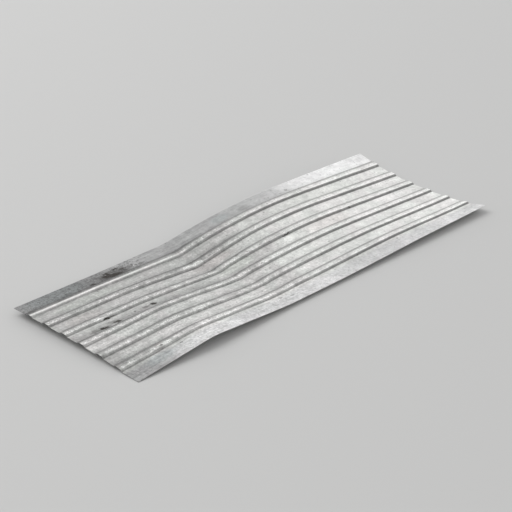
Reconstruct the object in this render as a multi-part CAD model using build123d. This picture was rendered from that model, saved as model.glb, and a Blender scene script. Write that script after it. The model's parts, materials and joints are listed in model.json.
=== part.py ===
# A used sheet of low-rib corrugated galvanised steel: one piece of cold-rolled stock.
# Millimetres. X runs along the ribs from the arched end to the sunken end, Y runs across
# from the front edge to the rear edge, and Z is up. The sheet lies unheld on level ground
# at z = 0, and the origin is under the middle of it.
import os
from math import cos, hypot, prod, radians, sin, tan

from build123d import *

# the sheet as it left the rolls
LENGTH = 2400
THICKNESS = 0.7
RIB_COUNT = 6
RIB_PITCH = 126
REAR_MARGIN = 116          # rear edge to the middle of the first rib
FRONT_MARGIN = 136         # middle of the last rib to the front edge
RIB_TOP = 30               # flat top between the upper bends
WEB_ANGLE = 34             # degrees, how steeply the side of a rib rises
WEB_STRAIGHT = 11.3        # flat part of that side, between its two bends
BEND_RADIUS = 3.5          # to the middle of the metal

# How use has bent it. Each row is read at the rear edge, a third and two thirds of the way
# across, and at the front edge. Heights of the arched end are above the ground in mm, and
# angles are in degrees: the slope of that end, and how far each bend after it turns the metal.
REAR_HEIGHT, REAR_THIRD_HEIGHT, FRONT_THIRD_HEIGHT, FRONT_HEIGHT = 33.1, 33.7, 24.1, 0
END_ANGLE = (-0.42, -0.52, 0.98, 5.68)
CREASE_ANGLE = (0.6, -2.2, -4.4, -9.3)
VALLEY_ANGLE = (8.7, 11.8, 7.9, 3.7)
HUMP_ANGLE = (-10.5, -12.7, -6.6, 0.3)

# where each bend crosses the sheet, and the length that it is spread over
CREASE_AT, CREASE_SPREAD = 456, 60
VALLEY_AT, VALLEY_SPREAD = 930, 80
HUMP_AT, HUMP_SPREAD = 1372, 853

# the front margin turns up towards the sunken end
MARGIN_RISE = 15
MARGIN_RISE_FROM = 1700

# broad dents: where the middle of each is, along the sheet and in from the rear edge, how high
# or deep it is, and how far it reaches along and across
RIDGE_AT, RIDGE_IN, RIDGE_RISE, RIDGE_ALONG, RIDGE_ACROSS = 527, 540, 13, 563, 144
POCKET_AT, POCKET_IN, POCKET_DEPTH, POCKET_ALONG, POCKET_ACROSS = 953, 280, 10, 409, 149
CORNER_AT, CORNER_IN, CORNER_DEPTH, CORNER_ALONG, CORNER_ACROSS = 107, 785, 7, 495, 107
SWELL_AT, SWELL_IN, SWELL_RISE, SWELL_ALONG, SWELL_ACROSS = 1815, 786, 9, 583, 317

CUT_SPACING = 60           # between the sections that the sheet is lofted through

WIDTH = REAR_MARGIN + (RIB_COUNT - 1) * RIB_PITCH + FRONT_MARGIN
END_HEIGHT = (REAR_HEIGHT, REAR_THIRD_HEIGHT, FRONT_THIRD_HEIGHT, FRONT_HEIGHT)
DENTS = (
    (RIDGE_AT, RIDGE_IN, RIDGE_RISE, RIDGE_ALONG, RIDGE_ACROSS),
    (POCKET_AT, POCKET_IN, -POCKET_DEPTH, POCKET_ALONG, POCKET_ACROSS),
    (CORNER_AT, CORNER_IN, -CORNER_DEPTH, CORNER_ALONG, CORNER_ACROSS),
    (SWELL_AT, SWELL_IN, SWELL_RISE, SWELL_ALONG, SWELL_ACROSS),
)


def across(row, inset):
    """The smooth curve through a row's values, read at a distance from the rear edge."""
    spots = range(len(row))
    reach = spots[-1] * inset / WIDTH

    def weight(spot):
        return prod((reach - other) / (spot - other) for other in spots if other != spot)

    return sum(weight(spot) * row[spot] for spot in spots)


def climb(past, spread):
    """Rise since a bend that turns by one unit of slope, evenly over its spread."""
    if past < -spread / 2:
        return 0
    if past > spread / 2:
        return past
    return (past + spread / 2) ** 2 / (2 * spread)


def lift(x, inset):
    """Height of the bent sheet's pans, at x along it and a distance from its rear edge."""
    def slope(row):
        return tan(radians(across(row, inset)))

    height = across(END_HEIGHT, inset) + slope(END_ANGLE) * x
    height += slope(CREASE_ANGLE) * climb(x - CREASE_AT, CREASE_SPREAD)
    height += slope(VALLEY_ANGLE) * climb(x - VALLEY_AT, VALLEY_SPREAD)
    height += slope(HUMP_ANGLE) * climb(x - HUMP_AT, HUMP_SPREAD)
    into_margin = max(inset - (WIDTH - FRONT_MARGIN), 0) / FRONT_MARGIN
    into_rise = max(x - MARGIN_RISE_FROM, 0) / (LENGTH - MARGIN_RISE_FROM)
    height += MARGIN_RISE * into_margin**2 * into_rise
    for at, inward, rise, reach_along, reach_across in DENTS:
        far = hypot((x - at) / reach_along, (inset - inward) / reach_across)
        height += rise * (1 + 2 * far) * max(1 - far, 0) ** 2
    return height


def rib_side():
    """Middle of the metal up one side of a rib, from its foot: (run, height, lean) of each point."""
    def bend(lean):
        return BEND_RADIUS * sin(radians(lean)), BEND_RADIUS * (1 - cos(radians(lean)))

    leans = (0, WEB_ANGLE / 2, WEB_ANGLE)
    lower = [(*bend(lean), lean) for lean in leans]
    bend_run, bend_height = bend(WEB_ANGLE)
    run = 2 * bend_run + WEB_STRAIGHT * cos(radians(WEB_ANGLE))
    height = 2 * bend_height + WEB_STRAIGHT * sin(radians(WEB_ANGLE))
    upper = [(run - along, height - up, lean) for along, up, lean in reversed(lower)]
    return lower + upper


def sheet_line():
    """Middle of the metal right across the flat sheet: (distance from the rear edge, height, lean)."""
    side = rib_side()
    half_width = side[-1][0] + RIB_TOP / 2
    line = [(0, 0, 0)]
    for rib in range(RIB_COUNT):
        middle = REAR_MARGIN + rib * RIB_PITCH
        line += [(middle - half_width + run, height, lean) for run, height, lean in side]
        line += [(middle + half_width - run, height, -lean) for run, height, lean in reversed(side)]
    line.append((WIDTH, 0, 0))
    return line


def face_edges(points):
    """A straight over each pan, side and top of the ribs, with an arc round each bend between."""
    edges = []
    for first in range(0, len(points) - 2, 3):
        edges.append(Line(points[first], points[first + 1]))
        edges.append(ThreePointArc(*points[first + 1 : first + 4]))
    edges.append(Line(points[-2], points[-1]))
    return edges


def section(x, line):
    """The outline of the metal where it is cut across, at x along the bent sheet."""
    under, upper = [], []
    for inset, height, lean in line:
        level = height + lift(x, inset)
        out_y = sin(radians(lean)) * THICKNESS / 2
        out_z = cos(radians(lean)) * THICKNESS / 2
        under.append(Vector(x, -inset - out_y, level - out_z))
        upper.append(Vector(x, -inset + out_y, level + out_z))
    front_cut = Line(under[-1], upper[-1])
    rear_cut = Line(upper[0], under[0])
    return Wire(face_edges(under) + [front_cut] + face_edges(upper[::-1]) + [rear_cut])


def corrugated_sheet():
    line = sheet_line()
    cuts = round(LENGTH / CUT_SPACING)
    sections = [section(LENGTH * cut / cuts, line) for cut in range(cuts + 1)]
    lowest = min(vertex.Z for outline in sections for vertex in outline.vertices())
    return Pos(-LENGTH / 2, WIDTH / 2, -lowest) * Solid.make_loft(sections)


os.makedirs("parts", exist_ok=True)
export_step(corrugated_sheet(), "parts/corrugated_sheet.step")
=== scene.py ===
# The used corrugated steel sheet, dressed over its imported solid: the bent and dented metal,
# its weathered zinc, a pale floor, studio light and the photograph's view. All in metres.
import json
from math import cos, radians, sin

import bpy
import numpy as np
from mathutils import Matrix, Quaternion, Vector
from mathutils.bvhtree import BVHTree

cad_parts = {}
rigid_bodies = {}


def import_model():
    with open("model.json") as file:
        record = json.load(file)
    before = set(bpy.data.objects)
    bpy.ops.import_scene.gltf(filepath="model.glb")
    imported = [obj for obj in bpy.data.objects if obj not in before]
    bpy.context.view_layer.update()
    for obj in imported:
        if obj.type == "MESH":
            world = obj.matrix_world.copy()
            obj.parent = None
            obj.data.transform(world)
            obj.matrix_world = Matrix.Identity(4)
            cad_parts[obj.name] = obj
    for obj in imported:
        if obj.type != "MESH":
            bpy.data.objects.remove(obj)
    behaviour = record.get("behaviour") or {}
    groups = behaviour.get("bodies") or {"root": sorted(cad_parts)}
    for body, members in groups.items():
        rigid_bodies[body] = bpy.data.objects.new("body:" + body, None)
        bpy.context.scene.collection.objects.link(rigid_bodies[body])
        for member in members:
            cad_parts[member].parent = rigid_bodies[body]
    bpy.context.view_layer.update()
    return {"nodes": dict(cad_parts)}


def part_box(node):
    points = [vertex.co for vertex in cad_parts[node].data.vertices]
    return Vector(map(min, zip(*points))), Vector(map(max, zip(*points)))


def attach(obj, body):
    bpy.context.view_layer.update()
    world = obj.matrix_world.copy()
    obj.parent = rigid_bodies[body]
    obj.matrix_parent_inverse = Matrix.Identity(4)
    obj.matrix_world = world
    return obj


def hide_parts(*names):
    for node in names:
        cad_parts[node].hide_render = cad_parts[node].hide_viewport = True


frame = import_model()

# the solid, its size and the profile that it was rolled to
SOLID = "corrugated_sheet"
LOW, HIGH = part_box(SOLID)
LENGTH = HIGH.x - LOW.x
WIDTH = HIGH.y - LOW.y
THICKNESS = 0.0007
RIB_COUNT = 6
RIB_PITCH = 0.126
REAR_MARGIN = 0.116            # rear edge to the middle of the first rib
FRONT_MARGIN = WIDTH - REAR_MARGIN - (RIB_COUNT - 1) * RIB_PITCH
RIB_MIDDLES = [HIGH.y - REAR_MARGIN - rib * RIB_PITCH for rib in range(RIB_COUNT)]
RIB_HEIGHT = 0.0075
TOP_HALF = 0.0161              # middle of a rib to its upper bend, where the faces would meet
FOOT_HALF = 0.0266             # middle of a rib to its lower bend
TOP_ROUND = 0.0028             # of the upper bend, on either side of where the faces would meet
FOOT_ROUND = 0.0015
SOLID_TOP_HALF = 0.014         # the solid's own rib: half of its flat top, and of its foot
SOLID_FOOT_HALF = 0.0285

# how finely the flat sheet is divided before it is bent
BEND_STEPS = 3
PAN_STEP = 0.010
TOP_CUTS = 2
ROW_CUTS = (15, 14)            # lengthwise, one after the other: 16 x 15 rows
ROW_STEP = LENGTH / ((ROW_CUTS[0] + 1) * (ROW_CUTS[1] + 1))
TOUCH = 0.00001                # what is this close is in one place
DECIMALS = 5                   # to which places are compared

# how it takes the solid's shape
EDGE_REACH = 0.0004            # how far inside the solid's edge its top is felt for
SMOOTH_PASSES = 6
SMOOTH_ANGLE = radians(40)

# slight unevenness all over: name, size and height
SWELLS = (
    ("broad swells", 0.24, 0.0016),
    ("small dents", 0.07, 0.0006),
)

# the fold across the valley: where it crosses each rib from the rear, how deep, and how far it reaches
FOLD = (-0.270, -0.292, -0.253, -0.229, -0.195, -0.170)
FOLD_DEPTH = 0.0030
FOLD_REACH = 0.050
FOLD_HALF = 0.51 * ROW_STEP    # takes the one row of points that is nearest

# dents: place along and across, how far up, and how far round it reaches
DENTS = (
    (FOLD[1], RIB_MIDDLES[1], -0.0022, 0.022),
    (FOLD[2], RIB_MIDDLES[2], -0.0030, 0.020),
    (FOLD[3], RIB_MIDDLES[3], -0.0018, 0.018),
    (-0.965, RIB_MIDDLES[2] - 0.020, -0.0020, 0.022),
    (0.215, RIB_MIDDLES[2] - 0.020, -0.0015, 0.025),
    (-0.680, 0.375, 0.0012, 0.050),
)
DENT_HALF = 0.8 * ROW_STEP     # of the few points at its middle

# dark stains: place along and across, half length, half width, turn and strength
STAINS = (
    (-0.686, 0.381, 0.028, 0.021, 10, 1.00),
    (-0.680, 0.400, 0.018, 0.013, 25, 0.97),
    (-0.660, 0.370, 0.045, 0.018, 0, 0.96),
    (-0.628, 0.363, 0.042, 0.011, 0, 0.95),
    (-0.640, 0.380, 0.100, 0.038, 0, 0.58),
    (-0.606, 0.412, 0.020, 0.009, 0, 0.90),
    (-0.584, 0.392, 0.022, 0.010, 0, 0.80),
    (-0.692, 0.420, 0.005, 0.004, 0, 0.55),
    (-0.787, 0.360, 0.018, 0.008, -18, 0.88),
    (-0.738, 0.401, 0.010, 0.005, -18, 0.45),
    (-0.553, 0.382, 0.036, 0.020, 0, 0.32),
    (-0.502, 0.376, 0.009, 0.006, 0, 0.60),
    (-0.522, 0.391, 0.009, 0.005, 0, 0.50),
    (-0.474, 0.369, 0.018, 0.009, 0, 0.38),
    (-0.940, 0.372, 0.012, 0.005, 0, 0.40),
    (0.239, 0.381, 0.040, 0.020, 0, 0.18),
    (0.548, 0.379, 0.010, 0.006, 0, 0.50),
    (-0.964, 0.0495, 0.022, 0.0060, 0, 1.00),
    (-0.930, 0.0485, 0.020, 0.0035, 0, 0.60),
    (-1.027, -0.011, 0.026, 0.011, -10, 1.00),
    (-1.054, -0.006, 0.050, 0.016, 0, 0.38),
    (-0.947, -0.005, 0.024, 0.010, -15, 0.88),
    (-0.960, 0.006, 0.034, 0.014, 0, 0.30),
    (-0.718, 0.005, 0.019, 0.012, -15, 1.00),
    (-0.762, 0.004, 0.020, 0.009, 0, 0.48),
    (-0.826, 0.007, 0.007, 0.006, 0, 0.45),
    (-0.878, -0.060, 0.012, 0.004, 0, 0.38),
    (-0.101, 0.083, 0.012, 0.005, 0, 0.45),
    (0.047, 0.068, 0.012, 0.005, 0, 0.40),
    (-0.064, -0.061, 0.012, 0.006, 0, 0.45),
    (-0.946, -0.311, 0.010, 0.006, 0, 0.65),
    (-0.870, -0.356, 0.007, 0.005, 0, 0.70),
    (-0.182, -0.381, 0.009, 0.006, 0, 0.40),
    (-0.241, -0.359, 0.008, 0.005, 0, 0.35),
    (0.213, 0.0500, 0.026, 0.0045, 0, 0.85),
    (0.686, 0.049, 0.008, 0.005, 0, 0.60),
    (0.286, 0.282, 0.006, 0.004, 0, 0.45),
    (-0.245, -0.242, 0.007, 0.004, 0, 0.45),
)

# scuffed whiter places, written in the same way
SCUFFS = (
    (-0.515, 0.381, 0.006, 0.005, 0, 0.90),
    (-1.000, 0.062, 0.036, 0.008, 0, 0.65),
    (0.219, 0.018, 0.055, 0.022, 0, 0.32),
    (-0.450, 0.262, 0.400, 0.030, 0, 0.16),
    (-0.300, 0.200, 0.060, 0.012, 0, 0.40),
)

# stretches that lean to pink, green or teal
PINK = (
    (-0.207, 0.145, 0.140, 0.035, 0, 1.0),
    (-1.020, 0.130, 0.110, 0.040, 0, 0.8),
    (-0.955, -0.291, 0.030, 0.012, 0, 0.8),
    (0.480, 0.010, 0.150, 0.050, 0, 0.8),
)
GREEN = (
    (-0.151, 0.025, 0.120, 0.035, 0, 1.0),
    (-0.900, 0.262, 0.200, 0.035, 0, 0.8),
    (0.600, 0.250, 0.300, 0.060, 0, 0.5),
)
TEAL = (
    (0.080, 0.394, 0.060, 0.030, 0, 0.8),
    (-0.980, 0.400, 0.180, 0.060, 0, 1.0),
    (-1.010, -0.375, 0.090, 0.035, 0, 0.9),
)

# how all of these marks are drawn
MARK_RIM = (1.30, 0.60)        # in units of a mark's half size: where it begins and where it is full
MARK_HALF_HEIGHT = 10          # enough for it to go right through the sheet
RAGGED_SCALE, RAGGED_DETAIL = 70.0, 3.0
RAGGED_REACH = 0.026           # how far the ragged edge strays
STAIN_GRAIN = 0.6              # how much the fine grain breaks up the stains, beside the mottle
STAIN_BREAKS = (-0.24, -0.08)  # from where to where in the two a stain fades in

# the zinc's own grain: scale, detail and roughness of each pattern
GRAINS = {
    "patch": (9.0, 2.0, 0.5),
    "blotch": (24.0, 4.0, 0.6),
    "mottle": (80.0, 3.0, 0.65),
    "grain": (300.0, 2.0, 0.6),
}
CRYSTAL_SCALE = 110.0

# grain that is drawn out one way: turn in degrees, length, width, detail and roughness
DRAWN_GRAINS = {
    "cloud": (0, 0.50, 0.20, 3.0, 0.5),
    "smear": (0, 0.11, 0.012, 3.0, 0.6),
    "wiped": (-78, 0.045, 0.010, 3.0, 0.6),
    "streak": (0, 0.050, 0.006, 2.0, 0.5),
}

# small marks: the pattern of each, and from where to where in it a mark fades in
SPECK_SCALE, SPECK_RIM = 75.0, (0.36, 0.16)
DOT_SCALE, DOT_RIM = 48.0, (0.26, 0.12)
FLECK_GRAIN, FLECK_RIM = (150.0, 3.0, 0.7), (-0.02, 0.12)
STREAK_RIM = (0.02, 0.10)

# from where to where in the grain they set in
SPECKED_PATCH, SPECKED_MOTTLE = (0.0, 0.12), (0.02, 0.06)
DOTTED_CELLS = (0.62, 0.80)
FLECKED_BLOTCH = (-0.12, 0.08)
SOOTY_MOTTLE = (0.0, 0.06)
FLECKS_WORN_OFF = 0.6          # the share of the flecks that is gone at the worn end

# bands along every rib: how far in front of its middle each lies, how far from there it reaches,
# and how far from there it is full
RIB_BANDS = {
    "top": (0.005, 0.0130, 0.0080),
    # a painted highlight on the front of each rib top
    "front_top": (0.011, 0.0075, 0.0030),
    # a painted highlight on the front of the first rib's top
    "first_top_highlight": (0.012, 0.0130, 0.0030),
    # painted shade on the front side of each rib
    "front_side": (0.0215, 0.0070, 0.0030),
    # grime and painted shade at the front foot of each rib
    "front_foot": (FOOT_HALF, 0.006, 0.001),
    # painted shade on the rear side of each rib
    "rear_side": (-0.0225, 0.012, 0.007),
    "rear_shade": (-0.0225, 0.042, 0.008),
}
# the rear of each rib top, which takes painted shade
REAR_TOP_RISE, REAR_TOP_FALL = (-0.031, -0.014), (0.0, -0.010)

# stretches along the sheet: where each begins and where it is full, or the middle of it, how far
# from there it reaches and how far from there it is full
WORN = (-0.30, 0.42)
CLEAN_FIRST_RIB = (-0.14, -0.34)
ARCHED_END = (-0.80, -1.10)
SOOTY = (-0.34, -0.52)
DARK_PAN = (-0.20, -0.45)
HUMP_FRONT = (0.50, 0.45, 0.20)
HUMP_REAR = (0.36, 0.30, 0.10)

# stretches across the sheet, written as those along it
FIRST_RIB = (RIB_MIDDLES[0], 0.05, 0.04)
BEYOND_FIRST_FOOT = (RIB_MIDDLES[0] + FOOT_HALF, RIB_MIDDLES[0] + FOOT_HALF + 0.008)
BEYOND_FIRST_TOP = (RIB_MIDDLES[0] - 0.006, RIB_MIDDLES[0] + 0.006)
FRONT_PANS = (-0.10, -0.22)
FRONT_EDGE = (-0.33, -0.36)
REAR_PANS = (0.19, 0.23)
MIDDLE_PANS = (0.0, -0.10)
# the pan between the third and fourth ribs, which takes painted shade
DARK_PAN_REAR, DARK_PAN_FRONT = (0.045, 0.005), (-0.036, -0.028)
BOTH_MARGINS = (0.34, 0.37)
# where the painted highlight along the rear cut edge lies
CUT_EDGE = (HIGH.y - 0.004, HIGH.y)

# how the rear margin darkens along the sheet: where each change begins and ends, and its amount
REAR_MARGIN_SHADES = (
    (0.66, 0.36, 0.28),
    (0.10, -0.25, -0.30),
    (-0.40, -0.85, 0.38),
    (0.50, 1.10, -0.17),
)

# how dark the other stretches are
ARCHED_PANS_SHADE, ARCHED_EDGE_SHADE = 0.14, 0.26
FRONT_EDGE_SHADE = (0.06, 0.15)    # at the grimy end and at the worn one
HUMP_FRONT_SHADE, HUMP_REAR_SHADE = 0.08, 0.10
MARGIN_EVENNESS = 0.5          # the share of the mottle that the rear margin lacks

# how light the zinc is, at the grimy end and at the worn one
ZINC_LEVEL = (0.548, 0.773)
REAR_DARKENING = 0.35          # for each metre towards the rear, at the grimy end

# by what share of itself each effect changes that
SHARES = {
    "cloud": 0.40,
    "blotch": 0.80,
    "patch": 0.40,
    "crystal": 0.05,
    "wiped": 0.30,
    "speck": -0.45,
    "dot": -0.34,
    "soot": -0.40,
    # painted shade on the pan between the third and fourth ribs
    "dark_pan": -0.26,
    # painted highlight on the front of the rib tops
    "front_top": 0.10,
    # painted shade on the rear of the rib tops and on the rear sides of the ribs
    "rear_top": -0.14,
    "rear_side": -0.45,
}

# the same, where it differs between the grimy end and the worn one
SHARES_BY_WEAR = {
    "uneven_mottle": (1.10, 0.60),
    "grain": (0.50, 0.20),
    "smear": (0.80, 0.30),
    "rear_shade": (-0.20, -0.05),
}

# what each then adds to it
ADDED = {
    "top": -0.05,
    # partly worn zinc and partly painted glints on the rib tops
    "fleck": 0.42,
    "scratch": 0.14,
    "scuff": 0.40,
    # painted highlight on the first rib's top
    "first_top_highlight": 0.35,
    # painted highlight along the rear cut edge
    "cut_edge": 0.12,
}

# the grime and painted shade at the front feet of the ribs, and the painted shade on their front sides,
# over all of that
FOOT_GRIME_AND_SHADE = 0.35
FRONT_SIDE_PAINTED_SHADE = (0.12, 0.50)    # at the grimy end and at the worn one

# how metallic, how rough and how raised it is, and what each effect adds to that
METALLIC = 0.90
METALLIC_CHANGES = {"stain": -0.8, "front_foot": -0.2, "fleck": -0.3}
ROUGHNESS = 0.46
ROUGHNESS_CHANGES = {"blotch": 0.35, "crystal": 0.12, "stain": 0.35, "front_foot": 0.15}
RELIEF = {"mottle": 0.6, "grain": 0.4}
RELIEF_STRENGTH, RELIEF_DEPTH = 0.3, 0.0006

# its faint hues: the grain that they follow, and the colours
HUE_GRAIN, HUE_RIM = (7.0, 3.0, 0.6), (-0.10, 0.10)
PINKISH = (1.0, 0.986, 0.972, 1)
GREENISH = (0.988, 1.0, 0.972, 1)
BLUISH = (0.990, 0.990, 1.0, 1)
BLUISH_AMOUNT = 0.6
PINK_TINT = (1.0, 0.965, 0.945, 1)
GREEN_TINT = (0.975, 1.0, 0.955, 1)
TEAL_TINT = (0.955, 1.0, 1.0, 1)
STAIN_BROWN = (0.028, 0.023, 0.019, 1)

FLOOR_SIZE = 40
FLOOR_COLOUR = (0.60, 0.60, 0.595, 1)
FLOOR_ROUGHNESS = 0.9
WORLD_COLOUR = (1, 1, 1, 1)
WORLD_STRENGTH = 0.6

# lamps: name, place, width and height, power in watts
LAMPS = (
    ("rear panel", (10.4, 10.4, 6.8), (16.0, 8.0), 320),
    ("front panel", (-7.2, -12.5, 6.8), (16.0, 8.0), 180),
    ("key", (-5.4, 10.8, 13.8), (13.0, 13.0), 1440),
)

# the photograph's view
LENS = 116.75
VIEW_TURN = radians(-44.218)
VIEW_PITCH = radians(26.593)
VIEW_ROLL = radians(-1.002)
VIEW_DISTANCE = 8.2595
VIEW_TARGET = Vector((0.0101, 0.0597, 0.0))
VIEW_END = 100                 # as far as the camera sees


def deselect():
    for thing in bpy.context.scene.objects:
        thing.select_set(False)


def pick(sheet, kind, wanted):
    """Selects, in edit mode, the points, edges or faces that pass; an edge has a middle and a way."""
    bpy.ops.object.mode_set(mode="OBJECT")
    mesh = sheet.data
    for group in (mesh.vertices, mesh.edges, mesh.polygons):
        group.foreach_set("select", [False] * len(group))
    if kind == "FACE":
        for face in mesh.polygons:
            face.select = wanted(face.center)
    elif kind == "EDGE":
        for edge in mesh.edges:
            start, end = (mesh.vertices[corner].co for corner in edge.vertices)
            edge.select = wanted((start + end) / 2, end - start)
    else:
        for vertex in mesh.vertices:
            vertex.select = wanted(vertex.co)
    bpy.ops.object.mode_set(mode="EDIT")
    bpy.ops.mesh.select_mode(type=kind)


def off_middle(y):
    return min(abs(y - middle) for middle in RIB_MIDDLES)


def lengthwise(way):
    return abs(way.x) > abs(way.y)


def crosswise(way):
    return abs(way.y) > abs(way.x)


def raise_ribs(sheet):
    """Cuts the flat sheet along its ribs, lifts their tops and rounds all the bends."""
    for middle in RIB_MIDDLES:
        for offset in (-FOOT_HALF, -TOP_HALF, TOP_HALF, FOOT_HALF):
            bpy.ops.mesh.select_all(action="SELECT")
            bpy.ops.mesh.bisect(plane_co=(0, middle + offset, 0), plane_no=(0, 1, 0))
    pick(sheet, "FACE", lambda place: off_middle(place.y) < TOP_HALF / 2)
    bpy.ops.transform.translate(value=(0, 0, RIB_HEIGHT))
    for half, width in ((TOP_HALF, TOP_ROUND), (FOOT_HALF, FOOT_ROUND)):
        def on_bend(place, way):
            return lengthwise(way) and abs(off_middle(place.y) - half) < TOUCH

        pick(sheet, "EDGE", on_bend)
        bpy.ops.mesh.bevel(offset=width, offset_type="OFFSET", segments=BEND_STEPS)


def divide_finely(sheet):
    """Divides the pans and the tops across, and then the whole sheet lengthwise."""
    for width in (RIB_PITCH - 2 * FOOT_HALF, REAR_MARGIN - FOOT_HALF, FRONT_MARGIN - FOOT_HALF):
        def spans(place, way):
            return abs(abs(way.y) - width) < 3 * FOOT_ROUND and abs(way.x) < width

        pick(sheet, "EDGE", spans)
        bpy.ops.mesh.subdivide(number_cuts=round(width / PAN_STEP) - 1)
    pick(sheet, "EDGE", lambda place, way: crosswise(way) and off_middle(place.y) < TOP_HALF / 10)
    bpy.ops.mesh.subdivide(number_cuts=TOP_CUTS)
    for cuts in ROW_CUTS:
        pick(sheet, "EDGE", lambda place, way: lengthwise(way))
        bpy.ops.mesh.subdivide(number_cuts=cuts)


def rolled_sheet():
    """The flat sheet as it left the rolls, in fine faces: its ribs stand up from the pans."""
    deselect()
    bpy.ops.mesh.primitive_plane_add(size=1, location=(0, 0, 0))
    sheet = bpy.context.object
    sheet.name = "zinc_sheet"
    sheet.data.name = "zinc_sheet"
    bpy.ops.object.mode_set(mode="EDIT")
    bpy.ops.transform.resize(value=(LENGTH, WIDTH, 1))
    raise_ribs(sheet)
    divide_finely(sheet)
    bpy.ops.object.mode_set(mode="OBJECT")
    return sheet


def felt_height(surface, x, y):
    """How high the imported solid's pans lie at a place, or would lie under a rib there."""
    felt_x = min(max(x, LOW.x + EDGE_REACH), HIGH.x - EDGE_REACH)
    felt_y = min(max(y, LOW.y + EDGE_REACH), HIGH.y - EDGE_REACH)
    hit = surface.ray_cast(Vector((felt_x, felt_y, HIGH.z + 1)), Vector((0, 0, -1)))[0]
    return hit.z - (RIB_HEIGHT if off_middle(y) < SOLID_TOP_HALF else 0)


def lay_on_solid(sheet):
    """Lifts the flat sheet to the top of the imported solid, and rounds off the solid's facets."""
    solid = frame["nodes"][SOLID].data
    corners = [corner.co for corner in solid.vertices]
    surface = BVHTree.FromPolygons(corners, [face.vertices for face in solid.polygons])
    points = np.zeros(len(sheet.data.vertices) * 3)
    sheet.data.vertices.foreach_get("co", points)
    points = points.reshape(-1, 3)
    order = np.lexsort((points[:, 1].round(DECIMALS), points[:, 0].round(DECIMALS)))
    rows = len(np.unique(points[:, 0].round(DECIMALS)))
    columns = points[order[: len(points) // rows], 1]
    lift = np.array([felt_height(surface, x, y) for x, y, _ in points])
    grid = lift[order].reshape(rows, -1)

    # the solid's rib sides aren't felt, and the heights on either side of them are joined instead
    steady = np.array([not SOLID_TOP_HALF < off_middle(y) < SOLID_FOOT_HALF for y in columns])
    for row in grid:
        row[:] = np.interp(columns, columns[steady], row[steady])
    for _ in range(SMOOTH_PASSES):
        grid[1:-1] = (grid[:-2] + 2 * grid[1:-1] + grid[2:]) / 4
    lift[order] = grid.ravel()
    points[:, 2] += lift
    sheet.data.vertices.foreach_set("co", points.ravel())
    sheet.data.update()


def roughen(sheet, name, size, height):
    """Slight swells of one size all over the sheet."""
    swells = bpy.data.textures.new(name, "CLOUDS")
    swells.noise_scale = size
    swells.noise_depth = 1
    modifier = sheet.modifiers.new(name, "DISPLACE")
    modifier.texture = swells
    modifier.texture_coords = "LOCAL"
    modifier.direction = "Z"
    modifier.strength = height
    modifier.mid_level = 0.5
    bpy.context.view_layer.objects.active = sheet
    bpy.ops.object.modifier_apply(modifier=name)


def push(sheet, wanted, depth, reach, falloff="SMOOTH"):
    """Moves some of the metal up or down, and what lies round it less and less over a reach."""
    pick(sheet, "VERT", wanted)
    bpy.ops.transform.translate(
        value=(0, 0, depth),
        use_proportional_edit=True,
        proportional_edit_falloff=falloff,
        proportional_size=reach,
    )
    bpy.ops.object.mode_set(mode="OBJECT")


def fold_across(sheet):
    """The sharp fold at the bottom of the valley."""
    def on_fold(place):
        fold = float(np.interp(place.y, RIB_MIDDLES[::-1], FOLD[::-1]))
        return abs(place.x - fold) < FOLD_HALF and RIB_MIDDLES[-1] < place.y < RIB_MIDDLES[0]

    push(sheet, on_fold, -FOLD_DEPTH, FOLD_REACH, "LINEAR")


def dent(sheet, x, y, depth, reach):
    def at_middle(place):
        return abs(place.x - x) < DENT_HALF and abs(place.y - y) < DENT_HALF

    push(sheet, at_middle, depth, reach)


def thicken(sheet):
    """Gives the surface the gauge of the sheet, below it, and shades its bends smoothly."""
    wall = sheet.modifiers.new("gauge", "SOLIDIFY")
    wall.thickness = THICKNESS
    wall.offset = -1
    bpy.context.view_layer.objects.active = sheet
    bpy.ops.object.modifier_apply(modifier="gauge")
    sheet.select_set(True)
    bpy.ops.object.shade_smooth_by_angle(angle=SMOOTH_ANGLE)
    sheet.select_set(False)


def set_down(sheet):
    """Moves the finished sheet so that its lowest point is on the floor."""
    lowest = min(corner.co.z for corner in sheet.data.vertices)
    pick(sheet, "VERT", lambda place: True)
    bpy.ops.transform.translate(value=(0, 0, -lowest))
    bpy.ops.object.mode_set(mode="OBJECT")


def bent_sheet():
    """The whole sheet as use has left it."""
    sheet = rolled_sheet()
    lay_on_solid(sheet)
    for swell in SWELLS:
        roughen(sheet, *swell)
    fold_across(sheet)
    for place in DENTS:
        dent(sheet, *place)
    thicken(sheet)
    set_down(sheet)
    return sheet


class Signal:
    """The output of one shader node, which Python's own signs work on."""

    def __init__(self, finish, socket):
        self.finish = finish
        self.socket = socket

    def __add__(self, other):
        return self.finish.maths("ADD", self, other)

    def __sub__(self, other):
        return self.finish.maths("SUBTRACT", self, other)

    def __rsub__(self, other):
        return self.finish.maths("SUBTRACT", other, self)

    def __mul__(self, other):
        return self.finish.maths("MULTIPLY", self, other)

    def __truediv__(self, other):
        return self.finish.maths("DIVIDE", self, other)

    def __abs__(self):
        return self.finish.maths("ABSOLUTE", self)

    __radd__ = __add__
    __rmul__ = __mul__


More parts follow.
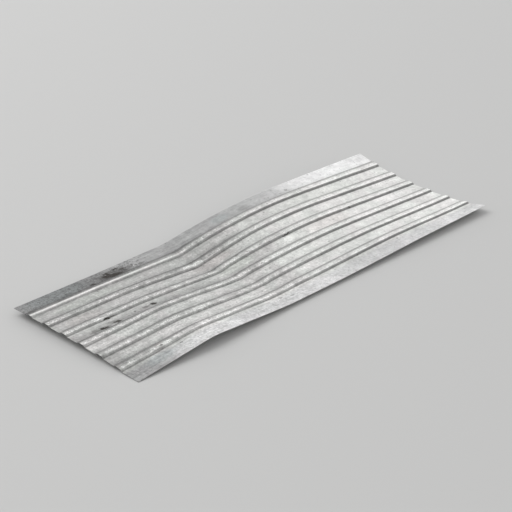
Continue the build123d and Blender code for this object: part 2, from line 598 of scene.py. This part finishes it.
class Finish:
    """A material, with one method that adds any node to it."""

    def __init__(self, name):
        self.material = bpy.data.materials.new(name)
        self.material.use_nodes = True
        self.tree = self.material.node_tree
        self.shader = self.tree.nodes["Principled BSDF"]

    def node(self, kind, settings=None, inputs=None, output=0):
        added = self.tree.nodes.new(kind)
        for name, value in (settings or {}).items():
            setattr(added, name, value)
        for name, value in (inputs or {}).items():
            self.connect(added.inputs[name], value)
        return Signal(self, added.outputs[output])

    def connect(self, socket, value):
        if isinstance(value, Signal):
            self.tree.links.new(value.socket, socket)
        else:
            socket.default_value = value

    def set(self, name, value):
        self.connect(self.shader.inputs[name], value)

    def maths(self, operation, *values):
        return self.node("ShaderNodeMath", {"operation": operation}, dict(enumerate(values)))

    def vectors(self, operation, *values):
        return self.node("ShaderNodeVectorMath", {"operation": operation}, dict(enumerate(values)))

    def ease(self, value, start, end, low=0.0, high=1.0):
        """Runs smoothly from low to high while a value runs from start to end."""
        inputs = {"Value": value, "From Min": start, "From Max": end, "To Min": low, "To Max": high}
        return self.node("ShaderNodeMapRange", {"interpolation_type": "SMOOTHSTEP"}, inputs)

    def band(self, value, middle, reach, full):
        """1 while a value is within one distance of a middle, and 0 past a longer one."""
        return self.ease(abs(value - middle), reach, full)

    def blend(self, amount, start, end):
        """From one colour to another."""
        settings = {"data_type": "RGBA", "blend_type": "MIX"}
        return self.node("ShaderNodeMix", settings, {0: amount, 6: start, 7: end}, output=2)

    def scaled(self, colour, amount):
        return self.node("ShaderNodeVectorMath", {"operation": "SCALE"}, {0: colour, "Scale": amount})

    def placed(self, place, centre=(0, 0, 0), turn=0.0, size=(1, 1, 1)):
        """A place measured from a centre, along turned axes, in units of a size."""
        inputs = {"Vector": place, "Location": centre, "Rotation": (0, 0, radians(turn)), "Scale": size}
        return self.node("ShaderNodeMapping", {"vector_type": "TEXTURE"}, inputs)

    def axis(self, place, letter):
        return self.node("ShaderNodeSeparateXYZ", {}, {"Vector": place}, letter)

    def distance(self, place):
        return self.node("ShaderNodeVectorMath", {"operation": "LENGTH"}, {0: place}, "Value")

    def noise(self, place, scale=1.0, detail=2.0, roughness=0.5):
        """Cloudy grain of about zero on average, and up to about a third either way."""
        inputs = {"Vector": place, "Scale": scale, "Detail": detail, "Roughness": roughness}
        return self.node("ShaderNodeTexNoise", {}, inputs) - 0.5

    def cells(self, place, scale, output):
        """Small cells side by side: the distance to the middle of the nearest, or its own colour."""
        inputs = {"Vector": place, "Scale": scale}
        return self.node("ShaderNodeTexVoronoi", {"feature": "F1"}, inputs, output)

    def red(self, colour):
        return self.node("ShaderNodeSeparateColor", {}, {"Color": colour})


def between(amount, start, end):
    """One value where an amount is 0 and another where it is 1."""
    return start + (end - start) * amount


def ragged_place(zinc, place):
    """Each place moved a little at random, so that what is drawn there has a ragged edge."""
    inputs = {"Vector": place, "Scale": RAGGED_SCALE, "Detail": RAGGED_DETAIL}
    wander = zinc.node("ShaderNodeTexNoise", {}, inputs, "Color")
    wander = zinc.vectors("SUBTRACT", wander, (0.5, 0.5, 0.5))
    return zinc.vectors("ADD", place, zinc.scaled(wander, RAGGED_REACH))


def marks(zinc, place, rows):
    """One mask for several soft-edged spots."""
    mask = None
    for x, y, half_length, half_width, turn, strength in rows:
        size = (half_length, half_width, MARK_HALF_HEIGHT)
        spot = zinc.distance(zinc.placed(place, (x, y, 0), turn, size))
        spot = zinc.ease(spot, *MARK_RIM, 0.0, strength)
        mask = zinc.maths("MAXIMUM", mask, spot) if mask else spot
    return mask


def rib_masks(zinc, along, across):
    """Where the tops, sides and feet of the ribs are, where they are worn, the clean first rib and the
    painted highlight on its top.
    """
    from_first = (RIB_MIDDLES[0] - across) / RIB_PITCH
    nearest = zinc.maths("ROUND", from_first)
    nearest = zinc.maths("MAXIMUM", zinc.maths("MINIMUM", nearest, RIB_COUNT - 1), 0)
    off_rib = (from_first - nearest) * RIB_PITCH
    masks = {name: zinc.band(off_rib, *row) for name, row in RIB_BANDS.items()}
    masks["worn"] = zinc.ease(along, *WORN)
    masks["first_rib"] = zinc.ease(along, *CLEAN_FIRST_RIB) * zinc.band(across, *FIRST_RIB)
    masks["first_top_highlight"] = masks["first_top_highlight"] * masks["first_rib"]
    masks["rear_top"] = zinc.ease(off_rib, *REAR_TOP_RISE) * zinc.ease(off_rib, *REAR_TOP_FALL)
    masks["rear_shade"] = masks["rear_shade"] * (1 - masks["top"])
    return masks


def grain_masks(zinc, place):
    """The coating's unevenness, from the size of the sheet down to a few millimetres."""
    masks = {name: zinc.noise(place, *row) for name, row in GRAINS.items()}
    for name, (turn, length, width, detail, roughness) in DRAWN_GRAINS.items():
        drawn = zinc.placed(place, turn=turn, size=(length, width, 1))
        masks[name] = zinc.noise(drawn, 1.0, detail, roughness)
    masks["crystal"] = zinc.red(zinc.cells(place, CRYSTAL_SCALE, "Color")) - 0.5
    return masks


def small_marks(zinc, ragged, masks):
    """Specks, dots, stains and scuffs, and the bright flecks, partly worn zinc and partly painted glints,
    and scratches on the tops of the ribs.
    """
    speck = zinc.ease(zinc.cells(ragged, SPECK_SCALE, "Distance"), *SPECK_RIM)
    speck = speck * zinc.ease(masks["patch"], *SPECKED_PATCH)
    dot = zinc.ease(zinc.cells(ragged, DOT_SCALE, "Distance"), *DOT_RIM)
    chosen = zinc.ease(zinc.red(zinc.cells(ragged, DOT_SCALE, "Color")), *DOTTED_CELLS)
    fleck = zinc.ease(zinc.noise(ragged, *FLECK_GRAIN), *FLECK_RIM)
    fleck = fleck * zinc.ease(masks["blotch"], *FLECKED_BLOTCH) * masks["top"]
    stain_grain = masks["mottle"] + STAIN_GRAIN * masks["grain"]
    return {
        "speck": speck * zinc.ease(masks["mottle"], *SPECKED_MOTTLE),
        "dot": dot * chosen,
        "fleck": fleck * (1 - FLECKS_WORN_OFF * masks["worn"]) * (1 - masks["first_rib"]),
        "scratch": zinc.ease(masks["streak"], *STREAK_RIM) * masks["top"] * masks["worn"],
        "stain": marks(zinc, ragged, STAINS) * zinc.ease(stain_grain, *STAIN_BREAKS),
        "scuff": marks(zinc, ragged, SCUFFS),
    }


def broad_masks(zinc, along, across, masks):
    """The broad darker stretches of the pans and margins, and the painted highlight along the rear cut
    edge.
    """
    beyond_top = zinc.ease(across, *BEYOND_FIRST_TOP) * masks["first_rib"]
    margin = zinc.maths("MAXIMUM", zinc.ease(across, *BEYOND_FIRST_FOOT), beyond_top)
    margin_shade = 0.0
    for start, end, amount in REAR_MARGIN_SHADES:
        margin_shade = margin_shade + amount * zinc.ease(along, start, end)
    front = zinc.ease(across, *FRONT_EDGE)
    arched = ARCHED_PANS_SHADE * zinc.ease(across, *FRONT_PANS) + ARCHED_EDGE_SHADE * front
    shade = arched * zinc.ease(along, *ARCHED_END) + between(masks["worn"], *FRONT_EDGE_SHADE) * front
    shade = shade + HUMP_FRONT_SHADE * zinc.ease(across, *MIDDLE_PANS) * zinc.band(along, *HUMP_FRONT)
    shade = shade + HUMP_REAR_SHADE * zinc.ease(across, *REAR_PANS) * zinc.band(along, *HUMP_REAR)
    # painted shade on the pan between the third and fourth ribs, which tilts away from the light
    dark_pan = zinc.ease(across, *DARK_PAN_REAR) * zinc.ease(across, *DARK_PAN_FRONT)
    return {
        "margin_shade": margin_shade * margin,
        "shade": shade,
        "dark_pan": dark_pan * zinc.ease(along, *DARK_PAN),
        "soot": zinc.ease(masks["mottle"], *SOOTY_MOTTLE) * margin * zinc.ease(along, *SOOTY),
        "uneven_mottle": masks["mottle"] * (1 - MARGIN_EVENNESS * margin),
        "cut_edge": zinc.ease(across, *CUT_EDGE),
    }


def summed(value, amounts, masks):
    """A value with the named amount of each mask added to it."""
    for name, amount in amounts.items():
        value = value + amount * masks[name]
    return value


def zinc_level(across, masks):
    """How light the zinc is, with the painted shade and highlights on it."""
    worn = masks["worn"]
    level = between(worn, *ZINC_LEVEL) - REAR_DARKENING * across * (1 - worn)
    level = level * (1 - masks["margin_shade"]) * (1 - masks["shade"])
    for name, share in SHARES.items():
        level = level * (1 + share * masks[name])
    for name, shares in SHARES_BY_WEAR.items():
        level = level * (1 + between(worn, *shares) * masks[name])
    level = summed(level, ADDED, masks)
    # grime and painted shade at the front feet of the ribs, then painted shade on their front sides
    level = level * (1 - FOOT_GRIME_AND_SHADE * masks["front_foot"] * (1 - masks["first_rib"]))
    return level * (1 - between(worn, *FRONT_SIDE_PAINTED_SHADE) * masks["front_side"])


def zinc_tint(zinc, across, ragged):
    """The faint hues of the zinc: pinkish and greenish patches, and cooler margins."""
    hue = zinc.ease(zinc.noise(ragged, *HUE_GRAIN), *HUE_RIM)
    tint = zinc.blend(hue, PINKISH, GREENISH)
    tint = zinc.blend(BLUISH_AMOUNT * zinc.ease(abs(across), *BOTH_MARGINS), tint, BLUISH)
    for rows, colour in ((PINK, PINK_TINT), (GREEN, GREEN_TINT), (TEAL, TEAL_TINT)):
        tint = zinc.blend(marks(zinc, ragged, rows), tint, colour)
    return tint


def weathered_zinc():
    """Dull galvanised steel: mottled zinc, scuffed rib tops with painted glints and highlights, grime and
    painted shade beside the ribs, a few stains.
    """
    zinc = Finish("weathered_zinc")
    place = zinc.node("ShaderNodeTexCoord", output="Object")
    along = zinc.axis(place, "X")
    across = zinc.axis(place, "Y")
    ragged = ragged_place(zinc, place)
    masks = rib_masks(zinc, along, across) | grain_masks(zinc, place)
    masks |= small_marks(zinc, ragged, masks)
    masks |= broad_masks(zinc, along, across, masks)
    colour = zinc.scaled(zinc_tint(zinc, across, ragged), zinc_level(across, masks))
    zinc.set("Base Color", zinc.blend(masks["stain"], colour, STAIN_BROWN))
    zinc.set("Metallic", summed(METALLIC, METALLIC_CHANGES, masks))
    zinc.set("Roughness", summed(ROUGHNESS, ROUGHNESS_CHANGES, masks))
    relief = {"Strength": RELIEF_STRENGTH, "Distance": RELIEF_DEPTH, "Height": summed(0.0, RELIEF, masks)}
    zinc.set("Normal", zinc.node("ShaderNodeBump", {}, relief))
    return zinc.material


def pale_floor():
    deselect()
    bpy.ops.mesh.primitive_plane_add(size=FLOOR_SIZE, location=(0, 0, 0))
    floor = bpy.context.object
    floor.name = "floor"
    paint = Finish("pale_floor")
    paint.set("Base Color", FLOOR_COLOUR)
    paint.set("Roughness", FLOOR_ROUGHNESS)
    floor.data.materials.append(paint.material)


def soft_lamp(name, place, size, power):
    """A panel of light that faces the middle of the sheet."""
    lamp = bpy.data.lights.new(name, "AREA")
    lamp.shape = "RECTANGLE"
    lamp.size, lamp.size_y = size
    lamp.energy = power
    holder = bpy.data.objects.new(name, lamp)
    holder.location = place
    holder.rotation_euler = (-Vector(place)).to_track_quat("-Z", "Y").to_euler()
    bpy.context.scene.collection.objects.link(holder)


def studio():
    world = bpy.data.worlds.new("studio")
    world.use_nodes = True
    light = world.node_tree.nodes["Background"].inputs
    light["Color"].default_value = WORLD_COLOUR
    light["Strength"].default_value = WORLD_STRENGTH
    bpy.context.scene.world = world
    for lamp in LAMPS:
        soft_lamp(*lamp)
    bpy.context.scene.view_settings.view_transform = "Standard"


def photograph_view():
    flat = cos(VIEW_PITCH)
    back = Vector((sin(VIEW_TURN) * flat, -cos(VIEW_TURN) * flat, sin(VIEW_PITCH)))
    lens = bpy.data.cameras.new("photograph view")
    lens.lens = LENS
    lens.clip_end = VIEW_END
    camera = bpy.data.objects.new("photograph view", lens)
    camera.location = VIEW_TARGET + back * VIEW_DISTANCE
    level = (-back).to_track_quat("-Z", "Y")
    camera.rotation_euler = (level @ Quaternion((0, 0, 1), VIEW_ROLL)).to_euler()
    bpy.context.scene.collection.objects.link(camera)
    bpy.context.scene.camera = camera


sheet = bent_sheet()
sheet.data.materials.append(weathered_zinc())
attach(sheet, "root")
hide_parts(SOLID)
pale_floor()
studio()
photograph_view()
